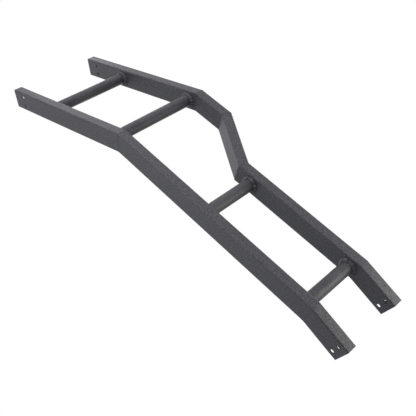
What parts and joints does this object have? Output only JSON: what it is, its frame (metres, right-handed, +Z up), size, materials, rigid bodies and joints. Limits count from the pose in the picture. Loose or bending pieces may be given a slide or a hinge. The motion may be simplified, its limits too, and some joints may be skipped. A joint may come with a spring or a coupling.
{
  "type": "van rear door ladder",
  "caption": "Welded steel rear door ladder for a van, with bent rectangular-tube rails, one of them jogged inwards, and round rungs, powder-coated dark grey.",
  "frame": {"origin": "on the outer side face of the left rail, midway between its two lower bolt holes", "axes": "+X across the van from the left rail to the right one, +Y in towards the door, +Z up along the middle of the rails"},
  "size_m": [0.2738, 0.2161, 1.0872],
  "materials": {
    "rail_coat": "satin",
    "rung_coat": "satin",
    "weld_coat": "satin"
  },
  "bodies": {
    "root": {"left_rail_lower_mitre_weld": "weld_coat", "left_rail_lower_tube": "rail_coat", "left_rail_middle_tube": "rail_coat", "left_rail_upper_mitre_weld": "weld_coat", "left_rail_upper_tube": "rail_coat", "right_rail_jog_lower_mitre_weld": "weld_coat", "right_rail_jog_tube": "rail_coat", "right_rail_jog_upper_mitre_weld": "weld_coat", "right_rail_lower_middle_tube": "rail_coat", "right_rail_lower_mitre_weld": "weld_coat", "right_rail_lower_tube": "rail_coat", "right_rail_upper_middle_tube": "rail_coat", "right_rail_upper_mitre_weld": "weld_coat", "right_rail_upper_tube": "rail_coat", "rung_1": "rung_coat", "rung_1_left_weld": "weld_coat", "rung_1_right_weld": "weld_coat", "rung_2": "rung_coat", "rung_2_left_weld": "weld_coat", "rung_2_right_weld": "weld_coat", "rung_3": "rung_coat", "rung_3_left_weld": "weld_coat", "rung_3_right_weld": "weld_coat", "rung_4": "rung_coat", "rung_4_left_weld": "weld_coat", "rung_4_right_weld": "weld_coat"}
  },
  "joints": []
}
